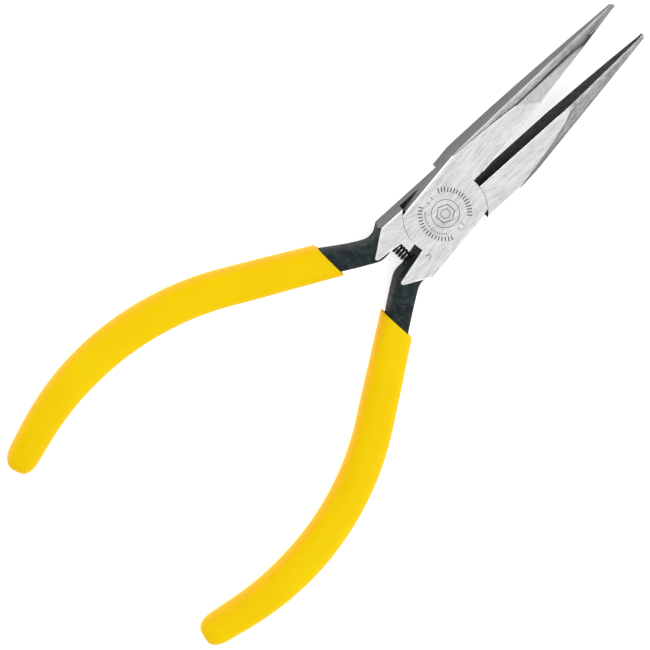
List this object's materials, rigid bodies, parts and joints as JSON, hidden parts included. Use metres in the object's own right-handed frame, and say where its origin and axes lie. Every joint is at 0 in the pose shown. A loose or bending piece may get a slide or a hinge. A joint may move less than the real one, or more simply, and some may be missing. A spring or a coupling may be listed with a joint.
{
  "type": "needle nose pliers",
  "caption": "Slim spring-opening needle nose pliers with a lap joint, long tapered jaws with cross-cut tips and dipped handles bowed outwards.",
  "frame": {"origin": "on the pivot axis, in the plane of the joint's ground back face", "axes": "+Z out of the front face along the pivot, +Y from the pivot towards the jaw tips along the bisector of the opening, +X to the right of the front view"},
  "size_m": [0.0644, 0.1416, 0.0078],
  "materials": {
    "forged_steel": "ground faces and noses, black oxide necks",
    "rivet_steel": "ground flush with the joint",
    "spring_wire": "black oxide wire",
    "grip_vinyl": "satin dipped vinyl"
  },
  "bodies": {
    "rear": {"rear_half": "forged_steel", "rear_grip": "grip_vinyl", "pivot_rivet": "rivet_steel", "opening_spring": "spring_wire"},
    "front": {"front_half": "forged_steel", "front_grip": "grip_vinyl"}
  },
  "joints": [
    {"name": "jaw_pivot", "type": "hinge", "parent": "rear", "child": "front", "pos_m": [0, 0, 0.0039], "axis": [0, 0, 1], "range_deg": [-8.7, 0], "stiffness_Nm_per_rad": 1.2, "springref_deg": 1.72, "deforming": ["opening_spring"]}
  ]
}
